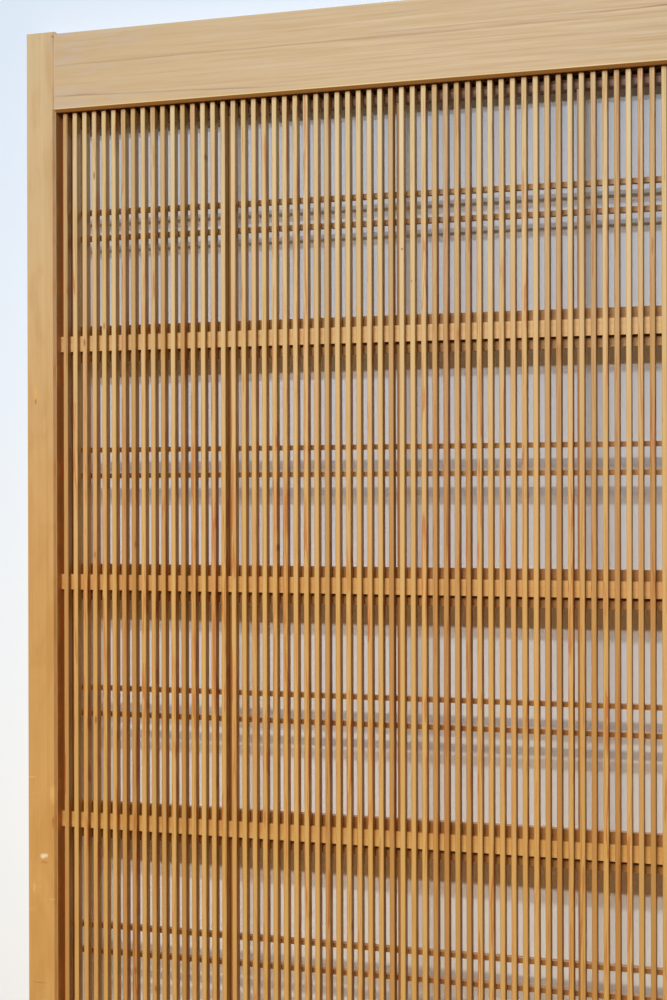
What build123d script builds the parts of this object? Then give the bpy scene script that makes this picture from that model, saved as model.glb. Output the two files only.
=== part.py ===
"""A slatted shoji leaf: fine upright slats in a chamfered frame, over a light panel of kumiko bars."""
import os

from build123d import *

os.makedirs("parts", exist_ok=True)

# Driving dimensions, in millimetres. The leaf faces -Y and stands on its two rollers at z = 0.
LEAF_WIDTH = 882.0
LEAF_HEIGHT = 1844.0  # from the track under the rollers to the tops of the stiles
THICKNESS = 36.0
STILE_WIDTH = 36.0
TOP_RAIL_HEIGHT = 90.2
BOTTOM_RAIL_HEIGHT = 114.0
HORN = 2.5  # how far the stiles stand above the top rail
ARRIS = 3.2  # chamfer round the front of the opening
TENON_SETBACK = 7.5  # from the front face to the rails' tenons
TENON_THICKNESS = 12.0
TENON_LENGTH = 28.0
TENON_SHOULDER = 12.0  # taken off the rail's height above and below its tenon
GLUE_GAP = 1.0  # left at the bottom of every mortise
STILE_ARRIS = 1.0  # chamfer along the outer corners of the stiles

CROSSPIECES = 5
CROSSPIECE_HEIGHT = 17.7
CROSSPIECE_THICKNESS = 4.7
CROSSPIECE_HOUSING = 12.0
SLATS = 66
SLAT_WIDTH = 5.5
SLAT_DEPTH = 10.0
SLAT_SETBACK = 7.5
SLAT_NOTCH = 2.7  # how far the crosspieces are let into the slats' backs
SLAT_HOUSING = 8.0  # in the groove along each rail
SLAT_ARRIS = 0.6  # the fine chamfer of planed sticks, along their front corners

PANEL_THICKNESS = 15.0
PANEL_REBATE = 12.0  # how far the rebate for the panel runs into the frame
PANEL_CLEARANCE = 0.5
PANEL_STILE_LIP = 14.0  # what the panel's stiles show inside the frame
PANEL_RAIL_LIP = 14.0
PANEL_TENON_THICKNESS = 5.0
PANEL_TENON_LENGTH = 15.0
KUMIKO_SETBACK = 1.0
KUMIKO_DEPTH = 9.0
KUMIKO_HOUSING = 6.0
MUNTINS = 3
MUNTIN_WIDTH = 6.2
THIN_BAR_HEIGHT = 5.4
THIN_BAR_SPACING = 29.8  # centre to centre of each bay's pair
BROAD_BAR_HEIGHT = 41.5

TONGUE_THICKNESS = 20.0  # runs in the groove of the head track
TONGUE_HEIGHT = 15.0

ROLLER_INSET = 110.0  # from the leaf's edge to the axle
ROLLER_PROUD = 3.0
WHEEL_DIAMETER = 30.0
WHEEL_WIDTH = 9.0
WHEEL_SIDE_GAP = 1.0
WHEEL_END_GAP = 2.5
AXLE_DIAMETER = 5.0
AXLE_SEAT = 0.02  # radial, in the housing
AXLE_RUNNING_FIT = 0.05  # radial, in the wheel
PRESS_THICKNESS = 1.5  # steel of the roller housings
FLANGE_LENGTH = 76.0
FLANGE_WIDTH = 17.0
POCKET_CLEARANCE = 0.25

# Faces and heights that the pieces share
FRONT = -THICKNESS / 2
BACK = THICKNESS / 2
INNER = LEAF_WIDTH / 2 - STILE_WIDTH
LEAF_BOTTOM = ROLLER_PROUD
SILL = LEAF_BOTTOM + BOTTOM_RAIL_HEIGHT
RAIL_TOP = LEAF_HEIGHT - HORN
HEAD = RAIL_TOP - TOP_RAIL_HEIGHT
TENON_BACK = FRONT + TENON_SETBACK + TENON_THICKNESS
SLAT_MIDDLE = FRONT + SLAT_SETBACK + SLAT_DEPTH / 2
SLAT_BACK = SLAT_MIDDLE + SLAT_DEPTH / 2
CROSSPIECE_MIDDLE = SLAT_BACK - SLAT_NOTCH + CROSSPIECE_THICKNESS / 2
PANEL_MIDDLE = BACK - PANEL_THICKNESS / 2
PANEL_INNER = INNER - PANEL_STILE_LIP
PANEL_OUTER = INNER + PANEL_REBATE - PANEL_CLEARANCE
PANEL_BOTTOM = SILL - PANEL_REBATE
PANEL_SILL = SILL + PANEL_RAIL_LIP
PANEL_HEAD = HEAD - PANEL_RAIL_LIP
PANEL_TOP = HEAD + PANEL_REBATE - PANEL_CLEARANCE
KUMIKO_MIDDLE = BACK - PANEL_THICKNESS + KUMIKO_SETBACK + KUMIKO_DEPTH / 2

# What repeats. Heights are listed from the top, places across the leaf from the left.
slat_pitch = (2 * INNER + SLAT_WIDTH) / (SLATS + 1)
slat_places = [(n - (SLATS - 1) / 2) * slat_pitch for n in range(SLATS)]
muntin_pitch = (2 * PANEL_INNER + MUNTIN_WIDTH) / (MUNTINS + 1)
muntin_places = [(n - (MUNTINS - 1) / 2) * muntin_pitch for n in range(MUNTINS)]
bay_pitch = (HEAD - SILL + CROSSPIECE_HEIGHT) / (CROSSPIECES + 1)
bay_heights = [HEAD + CROSSPIECE_HEIGHT / 2 - (n + 0.5) * bay_pitch for n in range(CROSSPIECES + 1)]
crosspiece_heights = [height - bay_pitch / 2 for height in bay_heights[:-1]]
thin_bar_heights = [height + side * THIN_BAR_SPACING / 2 for height in bay_heights for side in (1, -1)]
level_bars = [(height, THIN_BAR_HEIGHT) for height in thin_bar_heights]
level_bars += [(height, BROAD_BAR_HEIGHT) for height in crosspiece_heights]
roller_places = {"left": ROLLER_INSET - LEAF_WIDTH / 2, "right": LEAF_WIDTH / 2 - ROLLER_INSET}


def keep(piece, name):
    """Labels a finished piece and writes it."""
    piece.part.label = name
    export_step(piece.part, f"parts/{name}.step")


def stick(x, y, z, mode=Mode.ADD):
    """A square-edged length of timber, or a cut of that form; x, y and z are (low, high) pairs."""
    with BuildSketch(Plane.XY.offset(z[0])) as section:
        with Locations(((x[0] + x[1]) / 2, (y[0] + y[1]) / 2)):
            Rectangle(x[1] - x[0], y[1] - y[0])
    extrude(section.sketch, amount=z[1] - z[0], mode=mode)


def chamfer_opening():
    """Chamfers the front of the frame's opening, with mitres at its corners."""
    with BuildSketch(Plane.XZ.offset(-FRONT - ARRIS)) as opening:
        with Locations((0, (SILL + HEAD) / 2)):
            Rectangle(2 * INNER, HEAD - SILL)
    extrude(opening.sketch, amount=ARRIS, taper=-45, mode=Mode.SUBTRACT)


def rebate_for_panel():
    """Cuts the step in the back of the frame that the panel sits in."""
    edge = INNER + PANEL_REBATE
    stick((-edge, edge), (BACK - PANEL_THICKNESS, BACK), (PANEL_BOTTOM, HEAD + PANEL_REBATE), Mode.SUBTRACT)


def tongue_for_track():
    """Cuts the back of the top edge away, which leaves the tongue that runs in the head track."""
    edge = LEAF_WIDTH / 2
    stick((-edge, edge), (FRONT + TONGUE_THICKNESS, BACK), (LEAF_HEIGHT - TONGUE_HEIGHT, LEAF_HEIGHT), Mode.SUBTRACT)


def rail_tenons(low, high, length, mode=Mode.ADD):
    """The tenons at both ends of a rail, or the mortises for them."""
    with BuildSketch(Plane.XZ.offset(-TENON_BACK)) as cheek:
        with Locations((0, (low + high) / 2)):
            Rectangle(2 * (INNER + length), high - low - 2 * TENON_SHOULDER)
    extrude(cheek.sketch, amount=TENON_THICKNESS, mode=mode)


def slat_groove(low):
    """Ploughs the groove along a rail that holds one end of all the slats."""
    section = (SLAT_MIDDLE - SLAT_DEPTH / 2, SLAT_MIDDLE + SLAT_DEPTH / 2)
    stick((-INNER, INNER), section, (low, low + SLAT_HOUSING + GLUE_GAP), Mode.SUBTRACT)


# Front frame
with BuildPart() as stile_left:
    stick((-LEAF_WIDTH / 2, -INNER), (FRONT, BACK), (LEAF_BOTTOM, LEAF_HEIGHT))
    chamfer(stile_left.edges().filter_by(Axis.Z).group_by(Axis.X)[0], STILE_ARRIS)
    chamfer_opening()
    rebate_for_panel()
    tongue_for_track()
    rail_tenons(HEAD, RAIL_TOP, TENON_LENGTH + GLUE_GAP, Mode.SUBTRACT)
    rail_tenons(LEAF_BOTTOM, SILL, TENON_LENGTH + GLUE_GAP, Mode.SUBTRACT)
    with BuildSketch(Plane.YZ.offset(-INNER)):
        with Locations(*[(CROSSPIECE_MIDDLE, height) for height in crosspiece_heights]):
            Rectangle(CROSSPIECE_THICKNESS, CROSSPIECE_HEIGHT)
    extrude(amount=-CROSSPIECE_HOUSING - GLUE_GAP, mode=Mode.SUBTRACT)
keep(stile_left, "stile_left")

with BuildPart() as stile_right:
    mirror(stile_left.part, about=Plane.YZ)
keep(stile_right, "stile_right")

with BuildPart() as top_rail:
    stick((-INNER, INNER), (FRONT, BACK), (HEAD, RAIL_TOP))
    chamfer_opening()
    rebate_for_panel()
    tongue_for_track()
    rail_tenons(HEAD, RAIL_TOP, TENON_LENGTH)
    slat_groove(HEAD)
keep(top_rail, "top_rail")

# The bottom rail, with a pocket for each roller
box_length = WHEEL_DIAMETER + 2 * (WHEEL_END_GAP + PRESS_THICKNESS)
box_width = WHEEL_WIDTH + 2 * (WHEEL_SIDE_GAP + PRESS_THICKNESS)
box_top = WHEEL_DIAMETER + WHEEL_END_GAP + PRESS_THICKNESS

with BuildPart() as bottom_rail:
    stick((-INNER, INNER), (FRONT, BACK), (LEAF_BOTTOM, SILL))
    chamfer_opening()
    rebate_for_panel()
    rail_tenons(LEAF_BOTTOM, SILL, TENON_LENGTH)
    slat_groove(SILL - SLAT_HOUSING - GLUE_GAP)
    with BuildSketch(Plane.XY.offset(LEAF_BOTTOM)):
        with Locations(*[(place, 0) for place in roller_places.values()]):
            Rectangle(FLANGE_LENGTH + 2 * POCKET_CLEARANCE, FLANGE_WIDTH + 2 * POCKET_CLEARANCE)
    extrude(amount=PRESS_THICKNESS, mode=Mode.SUBTRACT)
    with BuildSketch(Plane.XY.offset(LEAF_BOTTOM)):
        with Locations(*[(place, 0) for place in roller_places.values()]):
            Rectangle(box_length + 2 * POCKET_CLEARANCE, box_width + 2 * POCKET_CLEARANCE)
    extrude(amount=box_top + POCKET_CLEARANCE - LEAF_BOTTOM, mode=Mode.SUBTRACT)
keep(bottom_rail, "bottom_rail")

for number, height in enumerate(crosspiece_heights, 1):
    with BuildPart() as crosspiece:
        with BuildSketch(Plane.YZ.offset(-INNER - CROSSPIECE_HOUSING)):
            with Locations((CROSSPIECE_MIDDLE, height)):
                Rectangle(CROSSPIECE_THICKNESS, CROSSPIECE_HEIGHT)
        extrude(amount=2 * (INNER + CROSSPIECE_HOUSING))
    keep(crosspiece, f"crosspiece_{number}")

# One slat, notched at the back over every crosspiece, and its copies in the bays between the muntins
with BuildPart() as slat:
    with BuildSketch(Plane.YZ.offset(-SLAT_WIDTH / 2)):
        with Locations((SLAT_MIDDLE, (SILL + HEAD) / 2)):
            Rectangle(SLAT_DEPTH, HEAD - SILL + 2 * SLAT_HOUSING)
        with Locations(*[(SLAT_BACK - SLAT_NOTCH / 2, height) for height in crosspiece_heights]):
            Rectangle(SLAT_NOTCH, CROSSPIECE_HEIGHT, mode=Mode.SUBTRACT)
    extrude(amount=SLAT_WIDTH)
    chamfer(slat.edges().filter_by(Axis.Z).group_by(Axis.Y)[0], SLAT_ARRIS)

bay_edges = [-INNER, *muntin_places, INNER]
for number, (left, right) in enumerate(zip(bay_edges, bay_edges[1:]), 1):
    with BuildPart() as slats:
        with Locations(*[(place, 0, 0) for place in slat_places if left < place <= right]):
            add(slat.part)
    keep(slats, f"slats_bay_{number}")

# Back panel: a light frame in the rebate, with level bars and muntins halved into each other
with BuildPart() as panel_stile_left:
    stick((-PANEL_OUTER, -PANEL_INNER), (BACK - PANEL_THICKNESS, BACK), (PANEL_BOTTOM, PANEL_TOP))
    with BuildSketch(Plane.YZ.offset(-PANEL_INNER)):
        for height, size in level_bars:
            with Locations((KUMIKO_MIDDLE, height)):
                Rectangle(KUMIKO_DEPTH, size)
    extrude(amount=-KUMIKO_HOUSING - GLUE_GAP, mode=Mode.SUBTRACT)
    with BuildSketch(Plane.YZ.offset(-PANEL_INNER)):
        with Locations((PANEL_MIDDLE, (SILL + PANEL_SILL) / 2), (PANEL_MIDDLE, (PANEL_HEAD + HEAD) / 2)):
            Rectangle(PANEL_TENON_THICKNESS, PANEL_RAIL_LIP)
    extrude(amount=-PANEL_TENON_LENGTH - GLUE_GAP, mode=Mode.SUBTRACT)
keep(panel_stile_left, "panel_stile_left")

with BuildPart() as panel_stile_right:
    mirror(panel_stile_left.part, about=Plane.YZ)
keep(panel_stile_right, "panel_stile_right")


def panel_rail(low, high, tenon_low, muntin_edge):
    """A rail of the panel, tenoned into its stiles and housed for the ends of the muntins."""
    reach = PANEL_INNER + PANEL_TENON_LENGTH
    tenon = (PANEL_MIDDLE - PANEL_TENON_THICKNESS / 2, PANEL_MIDDLE + PANEL_TENON_THICKNESS / 2)
    housing = KUMIKO_HOUSING + GLUE_GAP
    with BuildPart() as rail:
        stick((-PANEL_INNER, PANEL_INNER), (BACK - PANEL_THICKNESS, BACK), (low, high))
        stick((-reach, reach), tenon, (tenon_low, tenon_low + PANEL_RAIL_LIP))
        with BuildSketch(Plane.XY.offset(muntin_edge - housing)):
            with Locations(*[(place, KUMIKO_MIDDLE) for place in muntin_places]):
                Rectangle(MUNTIN_WIDTH, KUMIKO_DEPTH)
        extrude(amount=2 * housing, mode=Mode.SUBTRACT)
    return rail


keep(panel_rail(PANEL_HEAD, PANEL_TOP, PANEL_HEAD, PANEL_HEAD), "panel_rail_top")
keep(panel_rail(PANEL_BOTTOM, PANEL_SILL, SILL, PANEL_SILL), "panel_rail_bottom")


def level_bar(height, size):
    """A level bar of the panel, halved at the front where the muntins cross it."""
    with BuildPart() as bar:
        with BuildSketch(Plane.XY.offset(height - size / 2)):
            with Locations((0, KUMIKO_MIDDLE)):
                Rectangle(2 * (PANEL_INNER + KUMIKO_HOUSING), KUMIKO_DEPTH)
            with Locations(*[(place, KUMIKO_MIDDLE - KUMIKO_DEPTH / 4) for place in muntin_places]):
                Rectangle(MUNTIN_WIDTH, KUMIKO_DEPTH / 2, mode=Mode.SUBTRACT)
        extrude(amount=size)
    return bar


for number, height in enumerate(crosspiece_heights, 1):
    keep(level_bar(height, BROAD_BAR_HEIGHT), f"broad_bar_{number}")

for number, height in enumerate(thin_bar_heights):
    keep(level_bar(height, THIN_BAR_HEIGHT), f"thin_bar_{number // 2 + 1}_{('upper', 'lower')[number % 2]}")

for number, place in enumerate(muntin_places, 1):
    with BuildPart() as muntin:
        with BuildSketch(Plane.YZ.offset(place - MUNTIN_WIDTH / 2)):
            with Locations((KUMIKO_MIDDLE, (PANEL_SILL + PANEL_HEAD) / 2)):
                Rectangle(KUMIKO_DEPTH, PANEL_HEAD - PANEL_SILL + 2 * KUMIKO_HOUSING)
            for height, size in level_bars:
                with Locations((KUMIKO_MIDDLE + KUMIKO_DEPTH / 4, height)):
                    Rectangle(KUMIKO_DEPTH / 2, size, mode=Mode.SUBTRACT)
        extrude(amount=MUNTIN_WIDTH)
    keep(muntin, f"muntin_{number}")

# Door rollers: a pressed housing with a flange at its mouth, and a flat-rimmed wheel on a fixed axle
axle_height = WHEEL_DIAMETER / 2
for name, place in roller_places.items():
    with BuildPart() as housing:
        with BuildSketch(Plane.XY.offset(LEAF_BOTTOM)):
            with Locations((place, 0)):
                Rectangle(FLANGE_LENGTH, FLANGE_WIDTH)
        extrude(amount=PRESS_THICKNESS)
        with BuildSketch(Plane.XY.offset(LEAF_BOTTOM)):
            with Locations((place, 0)):
                Rectangle(box_length, box_width)
        extrude(amount=box_top - LEAF_BOTTOM)
        with BuildSketch(Plane.XY.offset(LEAF_BOTTOM)):
            with Locations((place, 0)):
                Rectangle(box_length - 2 * PRESS_THICKNESS, box_width - 2 * PRESS_THICKNESS)
        extrude(amount=box_top - PRESS_THICKNESS - LEAF_BOTTOM, mode=Mode.SUBTRACT)
        with BuildSketch(Plane.XZ.offset(-box_width / 2)):
            with Locations((place, axle_height)):
                Circle(AXLE_DIAMETER / 2 + AXLE_SEAT)
        extrude(amount=box_width, mode=Mode.SUBTRACT)
    keep(housing, f"roller_housing_{name}")

    with BuildPart() as axle:
        with BuildSketch(Plane.XZ.offset(-box_width / 2)):
            with Locations((place, axle_height)):
                Circle(AXLE_DIAMETER / 2)
        extrude(amount=box_width)
    keep(axle, f"roller_axle_{name}")

    with BuildPart() as wheel:
        with BuildSketch(Plane.YZ.offset(place)):
            rim = axle_height + WHEEL_DIAMETER / 2
            bore = axle_height + AXLE_DIAMETER / 2 + AXLE_RUNNING_FIT
            with Locations((0, (bore + rim) / 2)):
                Rectangle(WHEEL_WIDTH, rim - bore)
        revolve(axis=Axis((place, 0, axle_height), (0, 1, 0)))
    keep(wheel, f"roller_wheel_{name}")
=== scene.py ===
"""The looks of a slatted shoji leaf: planed softwood in two layers, on door rollers."""
from math import radians, tan

import bmesh
import bpy
from mathutils import Matrix, Vector


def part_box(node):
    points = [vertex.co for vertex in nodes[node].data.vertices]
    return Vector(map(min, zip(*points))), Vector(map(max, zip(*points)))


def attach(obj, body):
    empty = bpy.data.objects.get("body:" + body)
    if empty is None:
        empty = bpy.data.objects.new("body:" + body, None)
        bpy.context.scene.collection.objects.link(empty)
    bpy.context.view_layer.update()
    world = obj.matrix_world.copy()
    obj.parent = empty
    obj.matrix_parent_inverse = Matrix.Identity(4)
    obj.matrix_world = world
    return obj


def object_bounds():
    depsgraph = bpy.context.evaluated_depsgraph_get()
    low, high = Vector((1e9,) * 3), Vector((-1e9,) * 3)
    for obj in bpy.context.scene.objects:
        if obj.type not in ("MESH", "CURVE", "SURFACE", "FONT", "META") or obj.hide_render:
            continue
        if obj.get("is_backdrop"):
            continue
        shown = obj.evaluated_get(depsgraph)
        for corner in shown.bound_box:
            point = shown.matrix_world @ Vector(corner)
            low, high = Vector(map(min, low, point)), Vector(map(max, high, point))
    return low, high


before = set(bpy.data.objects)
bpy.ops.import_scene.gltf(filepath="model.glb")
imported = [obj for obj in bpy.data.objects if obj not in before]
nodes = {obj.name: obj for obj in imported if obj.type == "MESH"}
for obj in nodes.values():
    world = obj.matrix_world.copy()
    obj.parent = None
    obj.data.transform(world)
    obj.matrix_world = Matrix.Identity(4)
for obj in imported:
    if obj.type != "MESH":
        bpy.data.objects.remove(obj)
cad_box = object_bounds()


# Stiles
# The two uprights of the frame are of straight, planed cypress, grain upright, with the rails tenoned
# into them 2.5 mm below their tops. The left one has a knot, a chip and the scuffs of sliding.
class Shade:
    """A shader socket. An expression on it adds the Math, Vector Math or Mix nodes that it needs."""

    def __init__(self, socket):
        self.socket = socket

    def node(self, kind, settings=None, inputs=None, output=0):
        """Adds a node of any kind beside this socket: settings first, then its sockets' values or links."""
        tree = self.socket.id_data
        made = tree.nodes.new(kind)
        for name, value in (settings or {}).items():
            setattr(made, name, value)
        for name, value in (inputs or {}).items():
            if isinstance(value, Shade):
                tree.links.new(value.socket, made.inputs[name])
            else:
                made.inputs[name].default_value = value
        return Shade(made.outputs[output])

    def math(self, operation, first, second=0.0):
        return self.node("ShaderNodeMath", {"operation": operation}, {0: first, 1: second})

    def __add__(self, other):
        return self.math("ADD", self, other)

    def __radd__(self, other):
        return self.math("ADD", other, self)

    def __sub__(self, other):
        return self.math("SUBTRACT", self, other)

    def __rsub__(self, other):
        return self.math("SUBTRACT", other, self)

    def __mul__(self, other):
        return self.math("MULTIPLY", self, other)

    def __rmul__(self, other):
        return self.math("MULTIPLY", other, self)

    def __truediv__(self, other):
        return self.math("DIVIDE", self, other)

    def __rtruediv__(self, other):
        return self.math("DIVIDE", other, self)

    def __mod__(self, other):
        return self.math("MODULO", self, other)

    def __rmod__(self, other):
        return self.math("MODULO", other, self)

    def __abs__(self):
        return self.math("ABSOLUTE", self)

    def __round__(self):
        return self.math("ROUND", self)

    def part(self, axis):
        """The x, y or z of a position or a direction."""
        return self.node("ShaderNodeSeparateXYZ", {}, {0: self}, output="xyz".index(axis))

    def stretched(self, x, y, z):
        """A position scaled by its own amount along each axis."""
        return self.node("ShaderNodeVectorMath", {"operation": "MULTIPLY"}, {0: self, 1: (x, y, z)})

    def moved(self, by):
        """A position moved by a vector."""
        return self.node("ShaderNodeVectorMath", {"operation": "ADD"}, {0: self, 1: by})

    def between(self, low, high, start=0.0, end=1.0):
        """Where the value lies from low to high, smoothly, as a number from start to end."""
        settings = {"interpolation_type": "SMOOTHSTEP"}
        inputs = {"Value": self, "From Min": low, "From Max": high, "To Min": start, "To Max": end}
        return self.node("ShaderNodeMapRange", settings, inputs)

    def noise(self, scale, detail=3.0, roughness=0.55, distortion=0.0):
        """Soft clouds over a position."""
        inputs = {"Vector": self, "Scale": scale, "Detail": detail}
        inputs |= {"Roughness": roughness, "Distortion": distortion}
        return self.node("ShaderNodeTexNoise", {}, inputs)

    def graded(self, low, high):
        """One colour where the value is 0, turning into another where it is 1."""
        return self.node("ShaderNodeMix", {"data_type": "RGBA"}, {0: self, 6: low, 7: high}, output=2)

    def tinted(self, color, amount, blend="MIX"):
        """A colour with another laid over it."""
        settings = {"data_type": "RGBA", "blend_type": blend}
        return self.node("ShaderNodeMix", settings, {0: amount, 6: self, 7: color}, output=2)


def tone(red, green, blue):
    """A colour from its 8-bit screen values."""
    linear = [((c / 255 + 0.055) / 1.055) ** 2.4 for c in (red, green, blue)]
    return (*linear, 1.0)


def new_finish(name):
    """An empty finish: its material, its shader and the place on the object in metres."""
    material = bpy.data.materials.new(name)
    material.use_nodes = True
    shader = material.node_tree.nodes["Principled BSDF"]
    place = material.node_tree.nodes.new("ShaderNodeTexCoord").outputs["Object"]
    return material, shader, Shade(place)


def drawn_out(place, grain, along, across):
    """A position scaled so that a pattern over it is drawn out along the grain."""
    return place.stretched(*[along if axis == grain else across for axis in "xyz"])


AMBER = (0.72, 0.53, 0.295, 1.0)
AMBER_HEIGHT = 1.1
# The greyer, cooler colour towards the top is partly painted cool haze.
TOP_GREY_HAZE = (0.72, 0.725, 0.74, 1.0)
TOP_GREY_HAZE_HEIGHT = 1.95
LATE_WOOD = (0.74, 0.58, 0.46, 1.0)
DARK_FIBRE = (0.84, 0.76, 0.66, 1.0)
# Painted shade: faces that look sideways are darkened and yellowed by this.
SIDE_SHADE_PAINT = (0.95, 0.80, 0.42, 1.0)


def spot(place, x, y, z, across, tall):
    """1 in the middle of an upright oval round a place on the object, 0 outside it."""
    way = place.moved((-x, -y, -z)).stretched(2 / across, 2 / across, 2 / tall)
    reach = way.node("ShaderNodeVectorMath", {"operation": "LENGTH"}, {0: way}, output=1)
    return reach.between(1.0, 0.35)


def planed_wood(name, grain, pale, deep, odd, lines=1.0, own=None, marks=None):
    """Planed softwood. The grain runs along x or z, and own makes a number that differs by the stick."""
    material, shader, place = new_finish(name)
    sideways = abs(place.node("ShaderNodeTexCoord", output="Normal").part("x"))
    own = own(place) if own else place.node("ShaderNodeObjectInfo", output="Random")
    spread = place.node("ShaderNodeCombineXYZ", {}, {0: own * 3.1, 1: own * 5.3, 2: own * 7.7})
    cut = place.moved(spread)
    board = drawn_out(cut, grain, 0.45, 24.0)
    flame = board.noise(2.6, detail=3.0, distortion=0.5)
    growth = board.noise(15.0, detail=4.0, roughness=0.6, distortion=0.15)
    fibre = drawn_out(cut, grain, 1.4, 90.0).noise(22.0, detail=2.0)
    cloud = cut.noise(5.0, detail=1.0)

    body = flame.between(0.3, 0.7).graded(pale, deep)
    body = body.tinted(odd, own.between(0.45, 1.0, 0.0, 0.6) * cloud.between(0.3, 0.7))
    body = body.tinted(LATE_WOOD, growth.between(0.52, 0.72, 0.0, 0.36 * lines), "MULTIPLY")
    body = body.tinted(DARK_FIBRE, fibre.between(0.42, 0.72, 0.0, 0.32), "MULTIPLY")
    if marks:
        body = marks(body, place)
    # Painted shade on every face that looks sideways, such as the sides of the slats.
    body = body.tinted(SIDE_SHADE_PAINT, sideways.between(0.8, 0.95), "MULTIPLY")
    # More amber towards the foot with age; greyer and cooler towards the top, partly as painted cool haze.
    age_and_top_haze = place.part("z").between(AMBER_HEIGHT, TOP_GREY_HAZE_HEIGHT).graded(AMBER, TOP_GREY_HAZE)
    body = body.tinted(age_and_top_haze, 1.0, "MULTIPLY")
    relief = growth * 0.6 + fibre * 0.4
    bump = place.node("ShaderNodeBump", {}, {"Strength": 0.12, "Distance": 0.0004, "Height": relief})

    links = material.node_tree.links
    links.new(body.socket, shader.inputs["Base Color"])
    links.new(growth.between(0.3, 0.7, 0.46, 0.62).socket, shader.inputs["Roughness"])
    links.new(bump.socket, shader.inputs["Normal"])
    shader.inputs["Specular IOR Level"].default_value = 0.35
    return material


def dress(names, material):
    """Gives a finish to the nodes whose names start so."""
    for name, node in nodes.items():
        if name.startswith(names):
            for slot in node.material_slots:
                slot.material = material


STILE_PALE = tone(218, 191, 146)
STILE_DEEP = tone(212, 180, 130)
WARM_STREAK = tone(205, 150, 92)
CHIP_PALE = (0.90, 1.0, 1.25, 1.0)
SCUFF_PALE = tone(255, 240, 206)
TENON_LENGTH = 0.028
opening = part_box("top_rail")[1].x - TENON_LENGTH
outer_edge = cad_box[1].x
face = cad_box[0].y

# Each has its colour, its x and z, how far it goes across, how tall it is, and its strength.
STILE_SPOTS = (
    (tone(232, 190, 112), -0.4302, 1.4280, 0.0070, 0.0220, 0.70),  # pale wood round the knot
    (tone(178, 132, 78), -0.4302, 1.4180, 0.0035, 0.0090, 0.80),  # the knot
    (tone(118, 98, 84), -0.4070, 1.8385, 0.0060, 0.0040, 0.75),  # a dark mark near the top
    (tone(196, 184, 170), -0.4100, 1.8290, 0.0100, 0.0200, 0.40),  # greyed wood below it
    (tone(176, 112, 52), -0.4094, 0.9325, 0.0040, 0.0200, 0.60),  # an amber streak by the chamfer
    # The next mark is painted shade below the chip.
    (tone(176, 118, 62), -0.4205, 0.8855, 0.0140, 0.0040, 0.40),  # a darker place below the chip
    (CHIP_PALE, -0.4222, 0.8925, 0.0090, 0.0080, 1.00),
    (CHIP_PALE, -0.4185, 0.8935, 0.0080, 0.0060, 0.85),
    (tone(250, 228, 180), -0.4085, 0.9640, 0.0130, 0.0300, 0.45),  # a rubbed place by the chamfer
    (SCUFF_PALE, -0.4365, 0.9836, 0.0140, 0.0022, 0.40),
    (SCUFF_PALE, -0.4335, 0.8556, 0.0050, 0.0160, 0.25),
    (SCUFF_PALE, -0.4100, 0.8430, 0.0130, 0.0026, 0.30),
    (tone(150, 96, 46), -0.4260, 0.7460, 0.0260, 0.0018, 0.40),  # a dark scuff
)


def stile_marks(body, place):
    """A knot, a chip with painted shade below it, scuffs, a mottled face lighter and rubbed towards the foot,
    pale corners, painted light on the inner face and painted shade on the chamfer.
    """
    for color, x, z, across, tall, strength in STILE_SPOTS:
        body = body.tinted(color, spot(place, x, face, z, across, tall) * strength)
    rubbed = place.stretched(30.0, 30.0, 160.0).noise(1.6, detail=3.0, distortion=0.8).between(0.60, 0.72)
    low_down = place.part("z").between(1.15, 0.85, 0.0, 0.22)
    body = body.tinted((1.16, 1.14, 1.10, 1.0), low_down * 2.6, "MULTIPLY")
    body = body.tinted(tone(250, 222, 172), rubbed * low_down)
    x = abs(place.part("x"))
    mottle = place.stretched(22.0, 22.0, 7.0).noise(1.6, detail=3.0, distortion=0.6)
    body = body.tinted((0.90, 0.83, 0.70, 1.0), mottle.between(0.42, 0.66, 0.0, 0.75), "MULTIPLY")
    corner = x.between(outer_edge - 0.0025, outer_edge - 0.0005)
    body = body.tinted(tone(244, 206, 132), corner * mottle.between(0.35, 0.6, 0.1, 0.5))
    # Painted light and shade on the inner face: more orange in its depth, and much lighter in its front
    # strip, where the lamps reach it.
    inner_side = x.between(opening + 0.0004, opening + 0.0001)
    body = body.tinted((1.6, 1.05, 0.9, 1.0), inner_side, "MULTIPLY")
    shallow = place.part("y").between(face + 0.019, face + 0.004)
    body = body.tinted((1.25, 2.4, 4.2, 1.0), inner_side * shallow, "MULTIPLY")
    uneven = place.stretched(1.0, 1.0, 14.0).noise(2.0, detail=3.0)
    edge = x.between(opening + 0.0040, opening + 0.0015) * uneven.between(0.35, 0.6)
    body = body.tinted(tone(232, 206, 176), edge * 0.55)
    # Painted shade on the chamfer along the opening.
    chamfer_shade = x.between(opening + 0.0030, opening + 0.0024) * 0.9
    return body.tinted((0.80, 0.66, 0.62, 1.0), chamfer_shade, "MULTIPLY")


stile_wood = planed_wood("stile wood", "z", STILE_PALE, STILE_DEEP, WARM_STREAK, lines=0.4, marks=stile_marks)
dress("stile", stile_wood)


# Rails
# The top and bottom rails are one broad board each, grain level, with a few long dark growth lines and
# a greyish bloom near the ends. The chamfer along the opening and every face that looks down are painted
# a deep orange shade, with a painted highlight along the crest of the chamfer.
def growth_line(place, start, end, height, slope, thickness):
    """A thin line along the grain from one place across the leaf to another, fading at both ends."""
    x = place.part("x")
    waver = place.stretched(5.0, 0.0, 0.0).noise(2.0, detail=2.0) * 0.0036
    off = abs(place.part("z") - height - slope * (x - start) - waver + 0.0018)
    reach = (end - start) * 0.2
    ends = x.between(start - reach, start + reach) * x.between(end + reach, end - reach)
    return off.between(thickness, thickness * 0.2) * ends


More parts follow.
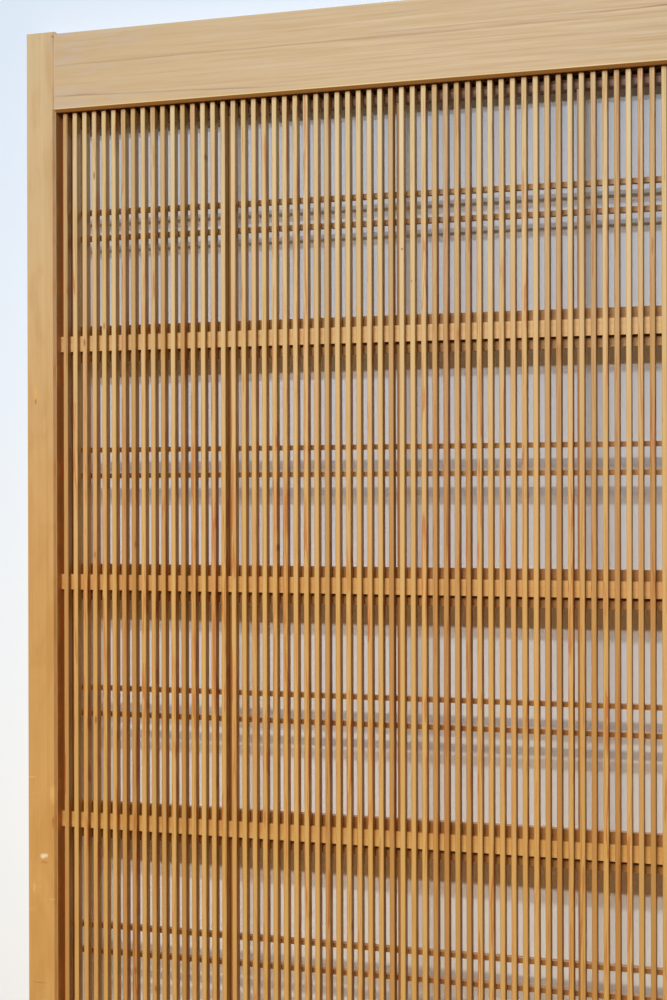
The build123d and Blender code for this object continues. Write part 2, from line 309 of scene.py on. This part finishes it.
def rail_marks(body, place):
    """Growth lines, the bloom near the ends, painted shade on the chamfer and downward faces, and a painted
    highlight on its crest.
    """
    uneven = place.stretched(9.0, 0.0, 160.0).noise(1.4, detail=3.0)
    for start, end, height, slope, thickness, color, amount in (
        (-0.40, 0.16, 1.8045, 0.0, 0.0013, tone(172, 130, 98), 0.55),
        (-0.06, 0.44, 1.8085, 0.008, 0.0011, tone(168, 120, 90), 0.45),
        (0.19, 0.44, 1.8100, 0.008, 0.0012, tone(150, 92, 66), 0.75),
        (0.05, 0.40, 1.8035, 0.004, 0.0009, tone(176, 130, 96), 0.45),
        (-0.42, -0.14, 1.7700, -0.034, 0.0014, tone(150, 122, 112), 0.65),
        (-0.30, 0.30, 1.7860, 0.006, 0.0011, tone(186, 150, 116), 0.35),
        (-0.10, 0.42, 1.7780, -0.004, 0.0010, tone(190, 154, 118), 0.30),
    ):
        broken = uneven.between(0.3, 0.6, amount * 0.5, amount)
        body = body.tinted(color, growth_line(place, start, end, height, slope, thickness) * broken)
    bloom = place.stretched(14.0, 14.0, 60.0).noise(1.6, detail=3.0, distortion=0.4).between(0.45, 0.7)
    near_ends = abs(place.part("x")).between(0.25, 0.42, 0.10, 0.5)
    body = body.tinted(tone(202, 184, 176), bloom * near_ends)
    # Painted shade on the chamfer and on every face that looks down.
    downward_shade = place.node("ShaderNodeTexCoord", output="Normal").part("z").between(-0.5, -0.68)
    body = body.tinted(CHAMFER_SHADE_PAINT, downward_shade, "MULTIPLY")
    # A painted highlight along the crest of the chamfer.
    crest = abs(place.part("z") - chamfer_crest).between(0.0010, 0.0003)
    return body.tinted(tone(244, 214, 150), crest * 0.7)


# Painted shade for the chamfer and the faces that look down.
CHAMFER_SHADE_PAINT = (0.70, 0.40, 0.13, 1.0)
rail_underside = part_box("top_rail")[0].z
chamfer_crest = rail_underside + 0.0036
RAIL_PALE = tone(212, 184, 141)
RAIL_DEEP = tone(206, 175, 130)
PINK_STREAK = tone(206, 166, 132)
rail_wood = planed_wood("rail wood", "x", RAIL_PALE, RAIL_DEEP, PINK_STREAK, lines=0.45, marks=rail_marks)
dress(("top_rail", "bottom_rail"), rail_wood)


# Slats
# 66 fine upright slats, sawn from many boards, so that golden, orange and pinkish ones stand side by
# side. Their ends sit in a groove along each rail, and their backs are notched over the crosspieces.
SLATS = 66
SLAT_WIDTH = 0.0055
ONE_SLAT = 81.0  # the scale at which a pattern changes from slat to slat
DARK_SLAT = (0.78, 0.68, 0.56, 1.0)
RED_FLAME = (0.82, 0.52, 0.32, 1.0)
PIN_KNOT = tone(140, 78, 40)
SHADE_UNDER_RAIL = (0.62, 0.42, 0.24, 1.0)
slat_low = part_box("slats_bay_1")[0]
slat_pitch = (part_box("slats_bay_4")[1].x - slat_low.x - SLAT_WIDTH) / (SLATS - 1)
first_slat = slat_low.x + SLAT_WIDTH / 2


def slat_number(place):
    """A random number for each slat, from its place across the leaf."""
    count = round((place.part("x") - first_slat) / slat_pitch)
    return place.node("ShaderNodeTexWhiteNoise", {"noise_dimensions": "1D"}, {"W": count})


def slat_marks(body, place):
    """What sets slat from slat: how dark it is, a reddish run of grain here and there, a rare pin knot; and
    painted shade at the top, under the rail.
    """
    own = slat_number(place)
    other = (own * 17.0) % 1.0
    body = body.tinted(DARK_SLAT, other.between(0.45, 1.0, 0.0, 1.0), "MULTIPLY")
    long_way = place.node("ShaderNodeCombineXYZ", {}, {2: own * 90.0})
    flames = place.stretched(330.0, 30.0, 11.0).moved(long_way).noise(1.0, detail=2.0, distortion=1.2)
    redness = place.stretched(ONE_SLAT, 0.0, 1.6).moved(long_way).noise(1.0, detail=1.0).between(0.42, 0.60)
    body = body.tinted(RED_FLAME, flames.between(0.52, 0.62) * redness, "MULTIPLY")
    cells = place.stretched(ONE_SLAT, 0.0, 22.0).moved(long_way)
    knot = cells.node("ShaderNodeTexVoronoi", {}, {0: cells, "Scale": 1.0})
    rare = cells.node("ShaderNodeTexVoronoi", {}, {0: cells, "Scale": 1.0}, output=1)
    rare = rare.part("x").between(0.90, 0.91)
    body = body.tinted(PIN_KNOT, knot.between(0.14, 0.05) * rare * 0.75)
    front = slat_low.y
    body = body.tinted(tone(120, 66, 38), spot(place, 0.0066, front, 1.5752, 0.0030, 0.0034) * 0.85)
    body = body.tinted(tone(144, 86, 48), spot(place, 0.0172, front, 1.5402, 0.0024, 0.0044) * 0.7)
    # Painted shade at the tops of the slats, under the rail.
    slat_top_shade = place.part("z").between(rail_underside - 0.0055, rail_underside - 0.0005)
    return body.tinted(SHADE_UNDER_RAIL, slat_top_shade, "MULTIPLY")


SLAT_PALE = tone(224, 200, 152)
SLAT_DEEP = tone(217, 186, 126)
SLAT_ODD = tone(210, 168, 126)
slat_wood = planed_wood("slat wood", "z", SLAT_PALE, SLAT_DEEP, SLAT_ODD, own=slat_number, marks=slat_marks)
dress("slats", slat_wood)


# Crosspieces
# Five thin level strips of golden, straight-grained wood. They are let into the backs of the slats,
# and their ends into the stiles.
CROSSPIECE_PALE = tone(218, 189, 138)
CROSSPIECE_DEEP = tone(208, 170, 112)
crosspiece_wood = planed_wood("crosspiece wood", "x", CROSSPIECE_PALE, CROSSPIECE_DEEP, SLAT_ODD, lines=0.5)
dress("crosspiece", crosspiece_wood)


# Back panel
# A light frame set in the rebate behind the slats, with level bars and muntins halved into each other.
# Its wood is darker and redder than the front's, partly its own tone and partly painted shade from the
# slats in front, and its top rail is painted darkest, as the shade under the leaf's top rail.
# The panel's colours are partly its own tone and partly painted shade from the slats in front of it.
PANEL_PALE = tone(188, 150, 97)
PANEL_DEEP = tone(172, 130, 77)
PANEL_ODD = tone(166, 116, 64)
# Painted shade: the panel's top rail is painted dark as the shade under the leaf's top rail.
PANEL_TOP_SHADE_PALE = tone(128, 86, 50)
PANEL_TOP_SHADE_DEEP = tone(114, 72, 38)
PANEL_TOP_SHADE_ODD = tone(108, 66, 34)
level_wood = planed_wood("panel wood, level", "x", PANEL_PALE, PANEL_DEEP, PANEL_ODD)
dress(("broad_bar", "thin_bar", "panel_rail"), level_wood)
top_shade_wood = planed_wood("panel wood, top, painted shade", "x", PANEL_TOP_SHADE_PALE, PANEL_TOP_SHADE_DEEP, PANEL_TOP_SHADE_ODD)
dress("panel_rail_top", top_shade_wood)
upright_wood = planed_wood("panel wood, upright", "z", PANEL_PALE, PANEL_DEEP, PANEL_ODD)
dress(("muntin", "panel_stile"), upright_wood)


# Rollers
# Two door rollers let into the underside of the bottom rail. Each is a zinc-plated pressed housing with
# a steel axle fixed in it, and a flat-rimmed wheel of pale nylon that turns on the axle.
steel, steel_shader, steel_place = new_finish("roller steel")
steel_shader.inputs["Metallic"].default_value = 1.0
steel_shader.inputs["Base Color"].default_value = tone(178, 180, 182)
worn = steel_place.stretched(1.0, 8.0, 1.0).noise(220.0).between(0.3, 0.7, 0.28, 0.46)
steel.node_tree.links.new(worn.socket, steel_shader.inputs["Roughness"])
dress(("roller_housing", "roller_axle"), steel)

NYLON_PALE = tone(224, 220, 206)
NYLON_GREY = tone(208, 202, 188)
nylon, nylon_shader, nylon_place = new_finish("roller nylon")
soiled = nylon_place.noise(90.0, detail=3.0).between(0.35, 0.75)
nylon_color = soiled.graded(NYLON_PALE, NYLON_GREY)
nylon.node_tree.links.new(nylon_color.socket, nylon_shader.inputs["Base Color"])
nylon_shader.inputs["Roughness"].default_value = 0.42
dress("roller_wheel", nylon)


# Roller screws
# Each roller hangs from two raised countersunk screws of plated steel, driven up through its flange.
# A head is a low dome with a cross recess cut out of it, and each stopped at a different turn.
HEAD_RADIUS = 0.0031
HEAD_RISE = 0.0008
RECESS_LENGTH = 0.0036
RECESS_WIDTH = 0.0008
RECESS_DEPTH = 0.0006
SCREW_FROM_AXLE = 0.029


def solid(name, build):
    """An object with the mesh that a function builds."""
    mesh = bpy.data.meshes.new(name)
    shape = bmesh.new()
    build(shape)
    shape.to_mesh(mesh)
    shape.free()
    made = bpy.data.objects.new(name, mesh)
    bpy.context.scene.collection.objects.link(made)
    return made


def domed_head(shape):
    """A low dome that hangs from its flat face at z = 0."""
    bmesh.ops.create_uvsphere(shape, u_segments=40, v_segments=24, radius=HEAD_RADIUS)
    bmesh.ops.scale(shape, vec=(1, 1, HEAD_RISE / HEAD_RADIUS), verts=shape.verts)
    above = {"plane_co": (0, 0, 0), "plane_no": (0, 0, 1), "clear_outer": True}
    everything = shape.verts[:] + shape.edges[:] + shape.faces[:]
    cut = bmesh.ops.bisect_plane(shape, geom=everything, **above)["geom_cut"]
    bmesh.ops.contextual_create(shape, geom=[edge for edge in cut if isinstance(edge, bmesh.types.BMEdge)])


def cross_tool(shape):
    """Two crossed bars that reach up into the dome from below."""
    for length, width in ((RECESS_LENGTH, RECESS_WIDTH), (RECESS_WIDTH, RECESS_LENGTH)):
        bar = bmesh.ops.create_cube(shape, size=1.0)["verts"]
        bmesh.ops.scale(shape, vec=(length, width, 2 * RECESS_DEPTH), verts=bar)
        bmesh.ops.translate(shape, vec=(0, 0, -HEAD_RISE), verts=bar)


cross = solid("cross tool", cross_tool)
for side in ("left", "right"):
    low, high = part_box(f"roller_housing_{side}")
    for end, way in (("outer", -1), ("inner", 1)):
        screw = solid(f"roller_screw_{side}_{end}", domed_head)
        recess = screw.modifiers.new("recess", "BOOLEAN")
        recess.operation = "DIFFERENCE"
        recess.solver = "EXACT"
        recess.use_self = True
        recess.object = cross
        bpy.context.view_layer.update()
        finished = screw.evaluated_get(bpy.context.evaluated_depsgraph_get())
        screw.data = bpy.data.meshes.new_from_object(finished)
        screw.modifiers.clear()
        screw.data.materials.clear()
        screw.data.materials.append(steel)
        middle = (low.x + high.x) / 2
        outward = way if side == "left" else -way
        screw.location = (middle + outward * SCREW_FROM_AXLE, (low.y + high.y) / 2, low.z)
        screw.rotation_euler = (0, 0, radians(27 * way + middle * 90))
        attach(screw, "leaf")
bpy.data.objects.remove(cross)


# Stage
# A plain pale floor, and a pale backdrop close behind the leaf that catches the shadows of its bars. The
# floor shows from above only and the backdrop from the front only, so that the leaf can be seen all round.
def stage_plane(name, corners, material):
    """A flat piece of the stage with four corners."""
    mesh = bpy.data.meshes.new(name)
    mesh.from_pydata(corners, [], [(0, 1, 2, 3)])
    mesh.materials.append(material)
    plane = bpy.data.objects.new(name, mesh)
    bpy.context.scene.collection.objects.link(plane)
    plane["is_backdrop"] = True
    return plane


def one_sided(material, shader, place):
    """Clear from behind, so that views from the back and from below show the leaf."""
    backfacing = place.node("ShaderNodeNewGeometry", output="Backfacing")
    clear = place.node("ShaderNodeBsdfTransparent")
    seen = place.node("ShaderNodeMixShader", {}, {0: backfacing, 1: Shade(shader.outputs[0]), 2: clear})
    outlet = material.node_tree.nodes["Material Output"].inputs["Surface"]
    material.node_tree.links.new(seen.socket, outlet)


floor_paint, floor_shader, floor_place = new_finish("floor paint")
one_sided(floor_paint, floor_shader, floor_place)
floor_shader.inputs["Base Color"].default_value = tone(214, 210, 204)
floor_shader.inputs["Roughness"].default_value = 0.8
FAR = 9.0
floor_corners = [(-FAR, -FAR, 0), (FAR, -FAR, 0), (FAR, FAR, 0), (-FAR, FAR, 0)]
floor = stage_plane("floor", floor_corners, floor_paint)
floor.visible_diffuse = False

# The backdrop is painted cooler towards the top, as painted cool light, and lighter behind the leaf than
# beside and above it, as painted light.
WALL_COOL = tone(207, 221, 243)
WALL_WARM = tone(250, 254, 250)
BESIDE_COOL = tone(205, 216, 231)
BESIDE_WARM = tone(233, 234, 233)
wall_paint, wall_shader, wall_place = new_finish("backdrop paint")
wall_height = wall_place.part("z")
rise = wall_height.between(0.6, 1.9)
past_edge = abs(wall_place.part("x")).between(outer_edge - 0.003, outer_edge + 0.005)
outside = wall_place.math("MAXIMUM", past_edge, wall_height.between(1.78, 1.82))
wall_tone = rise.graded(WALL_WARM, WALL_COOL).tinted(rise.graded(BESIDE_WARM, BESIDE_COOL), outside)
wall_paint.node_tree.links.new(wall_tone.socket, wall_shader.inputs["Base Color"])
wall_shader.inputs["Roughness"].default_value = 0.9
one_sided(wall_paint, wall_shader, wall_place)

BACKDROP_GAP = 0.003
BACKDROP_LEAN = radians(4.2)
BACKDROP_HEIGHT = 3.2
BACKDROP_HALF = 3.0
near = cad_box[1].y + BACKDROP_GAP
foot = near + cad_box[1].z * tan(BACKDROP_LEAN)
brow = near - (BACKDROP_HEIGHT - cad_box[1].z) * tan(BACKDROP_LEAN)
backdrop_corners = [
    (-BACKDROP_HALF, foot, 0),
    (BACKDROP_HALF, foot, 0),
    (BACKDROP_HALF, brow, BACKDROP_HEIGHT),
    (-BACKDROP_HALF, brow, BACKDROP_HEIGHT),
]
backdrop = stage_plane("backdrop", backdrop_corners, wall_paint)
backdrop.visible_shadow = False


# Lights
# Four lamps: a warm key high in front of the leaf and a little to its left, a cooler one above it, a
# small one for the right side, and a fill for the back.
def lamp(name, place, target, width, height, power, color, spread=180):
    """A lamp with a rectangular face, turned to its target."""
    light = bpy.data.lights.new(name, "AREA")
    light.spread = radians(spread)
    light.shape = "RECTANGLE"
    light.size = width
    light.size_y = height
    light.energy = power
    light.color = color
    holder = bpy.data.objects.new(name, light)
    turn = (Vector(target) - Vector(place)).to_track_quat("-Z", "Y")
    holder.matrix_world = Matrix.Translation(place) @ turn.to_matrix().to_4x4()
    bpy.context.scene.collection.objects.link(holder)


LEAF_MIDDLE = (0, 0, 1.3)
LEAF_FOOT = (-0.15, 0, 0.3)
RIGHT_FOOT = (0.5, 0, 0.5)
WARM_LIGHT = (1.0, 0.93, 0.84)
COOL_LIGHT = (0.88, 0.95, 1.0)
RIGHT_LIGHT = (1.0, 0.97, 0.93)
BACK_LIGHT = (1.0, 0.98, 0.95)
lamp("warm key", (-0.36, -2.9, 2.40), LEAF_FOOT, 1.8, 0.10, 36.5, WARM_LIGHT, 120)
lamp("cool key", (-0.26, -2.9, 2.92), LEAF_FOOT, 1.8, 0.10, 37, COOL_LIGHT, 120)
lamp("right key", (0.75, -2.9, 2.4), RIGHT_FOOT, 0.5, 0.10, 1.8, RIGHT_LIGHT, 60)
lamp("back fill", (0.0, 3.0, 3.3), LEAF_MIDDLE, 1.6, 0.8, 60, BACK_LIGHT)

world = bpy.data.worlds.new("studio")
bpy.context.scene.world = world
world.use_nodes = True
world.node_tree.nodes["Background"].inputs["Color"].default_value = (0.90, 0.94, 1.0, 1.0)
world.node_tree.nodes["Background"].inputs["Strength"].default_value = 0.06


# Camera
# At the photograph's place: 1.7 m in front of the leaf, 0.46 m right of its middle and 1.3 m up, turned
# left.
CAMERA_PLACE = (0.4598, -1.7115, 1.3071)
CAMERA_YAW = radians(17.35)
CAMERA_PITCH = radians(-0.106)
CAMERA_ROLL = radians(-0.125)
CAMERA_LENS = 58.52
camera = bpy.data.objects.new("camera", bpy.data.cameras.new("camera"))
camera.data.lens = CAMERA_LENS
camera.data.clip_start = 0.01
turned = Matrix.Rotation(CAMERA_YAW, 4, "Z") @ Matrix.Rotation(radians(90) + CAMERA_PITCH, 4, "X")
camera.matrix_world = Matrix.Translation(CAMERA_PLACE) @ turned @ Matrix.Rotation(CAMERA_ROLL, 4, "Z")
bpy.context.scene.collection.objects.link(camera)
bpy.context.scene.camera = camera
bpy.context.scene.view_settings.view_transform = "Standard"

boxes = {"cad": [list(corner) for corner in cad_box], "visual": [list(corner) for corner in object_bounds()]}
